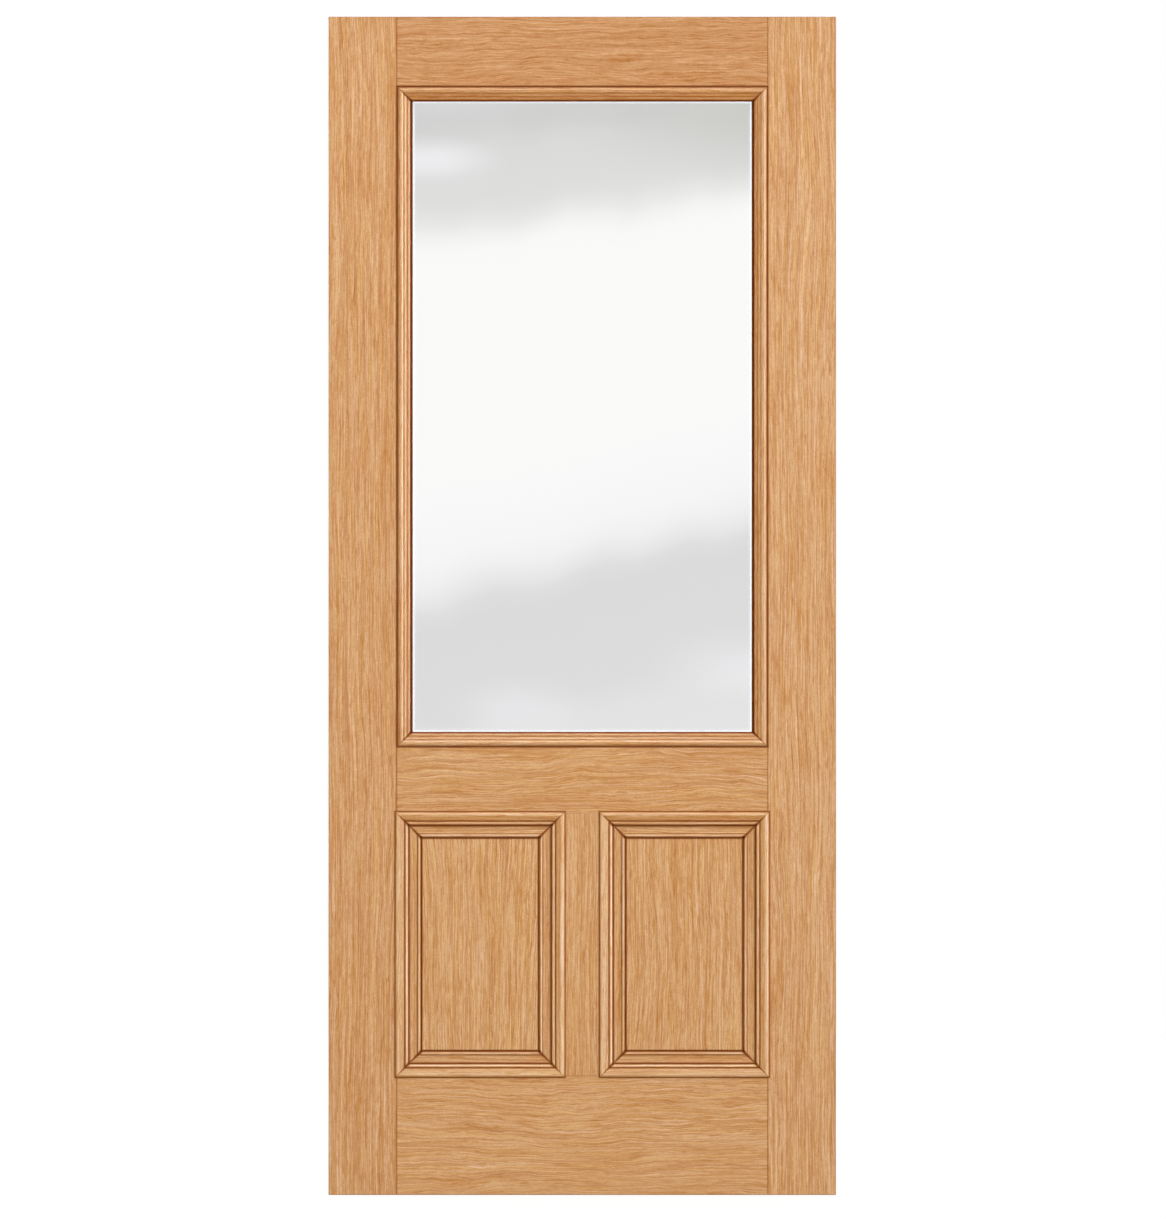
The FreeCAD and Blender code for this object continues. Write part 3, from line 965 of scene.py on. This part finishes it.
# The soft sheets that the glass shows. Places on them are in half widths and half
# heights of the glass, less its margin in millimetres, from its middle. The levels of
# a band, from 0 to 255, go by the distance from its edge, which leans.
GLASS_REFLECTS = 0.045
GLASS_PASSES = 0.895
GLASS_MARGIN = 15.0
BACKDROP_DISTANCE = 0.4
BACKDROP_WIDTH = 3.7
BACKDROP_HEIGHT = 1.45
BACKDROP_SIDE_FADE = (2.4, 3.6)
BACKDROP_END_FADE = (1.1, 1.4)
BACKDROP_MOTTLE = (2.2, 1.0)
BACKDROP_BEND = 0.1
TOP_EDGE = (0.064, 0.658)
TOP_TINT = (1.008, 1.0, 0.996)
TOP_BAND = (
    (-0.351, 205), (-0.242, 218), (-0.089, 221), (-0.051, 224), (0.0, 233), (0.038, 243),
    (0.08, 248.5), (0.2, 249),
)
BOTTOM_EDGE = (-0.133, 0.466)
BOTTOM_TINT = (1.008, 1.0, 1.01)
BOTTOM_BAND = (
    (-0.6, 227), (-0.5, 226), (-0.4, 220), (-0.096, 218.5), (-0.038, 222), (0.0, 230),
    (0.064, 240), (0.128, 245), (0.255, 247.5), (0.383, 249),
)
# Bright patches, or dark ones: the middle, the reach and the strength
BACKDROP_SPOTS = (
    ((-0.894, 0.825), (0.5, 0.09), 0.17),
    ((0.9, -0.793), (0.6, 0.14), 0.07),
    ((-0.38, -0.93), (0.5, 0.12), 0.08),
    ((-0.9, 1.0), (0.8, 0.12), 0.05),
    ((1.1, 0.97), (1.4, 0.26), -0.11),
)
SPOT_BLUE = 1.15
# What the spacer bar mirrors: the way, where the rim starts and is full, its strength
RIMS = (
    ("X", 1.008, 1.03, 1.3), ("X", -1.008, -1.03, 1.3),
    ("Z", 1.01, 1.04, 0.95), ("Z", -1.002, -1.012, 1.2),
)
THROUGH_BOTH_PANES = 4.5


def seen_directly(tree):
    """1 for what the camera, a reflection or glass shows, and 0 for light."""
    path = add(tree, "ShaderNodeLightPath").outputs
    seen = calc(tree, "MAXIMUM", path["Is Camera Ray"], path["Is Glossy Ray"])
    return calc(tree, "MAXIMUM", seen, path["Is Transmission Ray"])


def build_floor():
    """A pale floor that shows white and keeps a faint shadow."""
    z = cad_low.z - FLOOR_DROP
    x = (cad_low.x + cad_high.x) / 2
    corners = [(x - FLOOR_REACH, -FLOOR_REACH, z), (x + FLOOR_REACH, -FLOOR_REACH, z),
               (x + FLOOR_REACH, FLOOR_REACH, z), (x - FLOOR_REACH, FLOOR_REACH, z)]
    mesh = mesh_of("floor", corners, [(0, 1, 2, 3)])
    made, tree, output = bare_material("pale_floor")
    diffuse = add(tree, "ShaderNodeBsdfDiffuse", {"Color": FLOOR_COLOUR})
    strength = calc(tree, "MULTIPLY_ADD", seen_directly(tree), FLOOR_SHOWN - FLOOR_GLOW,
                    FLOOR_GLOW)
    glow = add(tree, "ShaderNodeEmission", {"Color": WHITE, "Strength": strength})
    both = add(tree, "ShaderNodeAddShader", {0: diffuse.outputs[0], 1: glow.outputs[0]})
    tree.links.new(both.outputs[0], output.inputs["Surface"])
    mesh.materials.append(made)
    floor = put_in_scene("floor", mesh)


def build_world():
    """White to the eye, and an even soft light on the leaf."""
    world = bpy.data.worlds.new("studio")
    bpy.context.scene.world = world
    world.use_nodes = True
    tree = world.node_tree
    tree.nodes.clear()
    strength = calc(tree, "MULTIPLY_ADD", seen_directly(tree), 1.0 - FILL, FILL)
    back = add(tree, "ShaderNodeBackground", {"Color": WHITE, "Strength": strength})
    output = add(tree, "ShaderNodeOutputWorld")
    tree.links.new(back.outputs[0], output.inputs["Surface"])


def build_key_lights():
    """Soft light on each face from its right and from above, even over the leaf, and
    stronger light that only shows as sheen on the lacquer."""
    for name, (x, y, z), strength, sheen in KEY_LIGHTS:
        for face, outward in FACES:
            for kind, energy in (("key", strength), ("sheen", sheen)):
                lamp = bpy.data.lights.new(f"{face}_{name}_{kind}", "SUN")
                lamp.angle = math.radians(KEY_SPREAD)
                lamp.energy = energy
                holder = put_in_scene(lamp.name, lamp)
                away = Vector((-x * outward, -y * outward, z))
                holder.rotation_euler = away.to_track_quat("Z", "Y").to_euler()
                if kind == "sheen":
                    lamp.color = SHEEN_COLOUR
                    holder.visible_diffuse = False
                    holder.visible_transmission = False


def behind_glass(level):
    """The strength behind the glass that shows through it as a level from 0 to 255."""
    light = ((level / 255 + 0.055) / 1.055) ** 2.4
    return (light - GLASS_REFLECTS) / GLASS_PASSES


def level_ramp(tree, place, levels, tint):
    """A colour that follows levels given at places."""
    first, last = levels[0][0], levels[-1][0]
    share = calc(tree, "DIVIDE", calc(tree, "SUBTRACT", place, first), last - first)
    return ramp(tree, share, [
        ((at - first) / (last - first), tuple(behind_glass(level) * part for part in tint) + (1,))
        for at, level in levels])


def soft_spot(tree, across, up, centre, reach, strength, onto):
    """Adds a soft bright patch, faintly blue, to a colour, or takes one away."""
    away = [calc(tree, "DIVIDE", calc(tree, "SUBTRACT", value, middle), half)
            for value, middle, half in zip((across, up), centre, reach)]
    square = calc(tree, "MULTIPLY_ADD", away[0], away[0], calc(tree, "MULTIPLY", away[1], away[1]))
    patch = spread(tree, calc(tree, "SQRT", square), 0.0, 1.0, strength, 0.0)
    colour = combined(tree, patch, patch, calc(tree, "MULTIPLY", patch, SPOT_BLUE))
    return blend(tree, 1.0, onto, colour, "ADD")


def backdrop_finish(name, bright_rim):
    """Pale, with a wide bright band that leans a little, and brighter all round it
    for what the spacer bar mirrors, but not for what is seen straight through."""
    made, tree, output = bare_material(name)
    position = object_place(tree)
    part = split(tree, position)
    across, up = part["X"], part["Z"]
    bent = weighed(tree, noise(tree, position, *BACKDROP_MOTTLE), BACKDROP_BEND, up)
    above = calc(tree, "SUBTRACT", calc(tree, "MULTIPLY_ADD", across, *TOP_EDGE), bent)
    below = calc(tree, "ADD", calc(tree, "MULTIPLY_ADD", across, *BOTTOM_EDGE), bent)
    shown = blend(tree, 1.0, level_ramp(tree, above, TOP_BAND, TOP_TINT),
                  level_ramp(tree, below, BOTTOM_BAND, BOTTOM_TINT), "DARKEN")
    for spot in BACKDROP_SPOTS:
        shown = soft_spot(tree, across, up, *spot, shown)
    side = spread(tree, calc(tree, "ABSOLUTE", across), *BACKDROP_SIDE_FADE)
    end = spread(tree, calc(tree, "ABSOLUTE", up), *BACKDROP_END_FADE)
    shown = blend(tree, calc(tree, "MAXIMUM", side, end), shown, WHITE)
    if bright_rim:
        depth = add(tree, "ShaderNodeLightPath").outputs["Ray Depth"]
        mirrored = calc(tree, "GREATER_THAN", depth, THROUGH_BOTH_PANES)
        for axis, start, full, strength in RIMS:
            near = calc(tree, "MULTIPLY", spread(tree, part[axis], start, full), mirrored)
            shown = blend(tree, near, shown, (strength,) * 3 + (1,))
    glow = add(tree, "ShaderNodeEmission", {"Color": shown, "Strength": 1.0})
    tree.links.new(glow.outputs[0], output.inputs["Surface"])
    return made


def build_backdrops():
    """Soft sheets behind and before the leaf, which only the glass shows. Each is as
    large as it takes to lie behind the glass as the camera sees it."""
    low, high = grown(*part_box("outer_glass_pane"), -GLASS_MARGIN)
    centre = (low + high) / 2
    eye = bpy.context.scene.camera.location
    wide, tall = BACKDROP_WIDTH, BACKDROP_HEIGHT
    corners = [(-wide, 0, -tall), (wide, 0, -tall), (wide, 0, tall), (-wide, 0, tall)]
    for where, y in (("behind", BACKDROP_DISTANCE), ("before", -BACKDROP_DISTANCE)):
        mesh = mesh_of("backdrop_" + where, corners, [(0, 1, 2, 3)])
        mesh.materials.append(backdrop_finish("soft_backdrop_" + where, y < 0))
        sheet = put_in_scene("backdrop_" + where, mesh)
        away = (y - eye.y) / (low.y - eye.y)
        sheet.location = (eye.x + (centre.x - eye.x) * away, y, eye.z + (centre.z - eye.z) * away)
        sheet.scale = ((high.x - low.x) / 2 * away, 1.0, (high.z - low.z) / 2 * away)
        sheet.visible_camera = False
        sheet.visible_diffuse = False
        sheet.visible_glossy = False
        sheet.visible_shadow = False


def build_camera():
    """A long lens straight in front, with the leaf where the photo has it."""
    scale = (cad_high.z - cad_low.z) / (LEAF_BOTTOM - LEAF_TOP)
    data = bpy.data.cameras.new("camera")
    data.lens = LENS
    data.sensor_width = SENSOR
    data.clip_end = CAMERA_REACH
    camera = put_in_scene("camera", data)
    right = (PHOTO_WIDTH / 2 - (LEAF_LEFT + LEAF_RIGHT) / 2) * scale
    down = (PHOTO_HEIGHT / 2 - (LEAF_TOP + LEAF_BOTTOM) / 2) * scale
    centre = (cad_low + cad_high) / 2
    distance = LENS / SENSOR * PHOTO_HEIGHT * scale
    camera.location = (centre.x + right, -FACE - distance, centre.z - down)
    camera.rotation_euler = (math.radians(90), 0, 0)
    bpy.context.scene.camera = camera


build_camera()
build_world()
build_key_lights()
build_floor()
build_backdrops()
dress_frame_members()
dress_panels()
dress_glass()
build_spacer()
build_mouldings()
build_glazing_pins()

bpy.context.scene.view_settings.view_transform = "Standard"
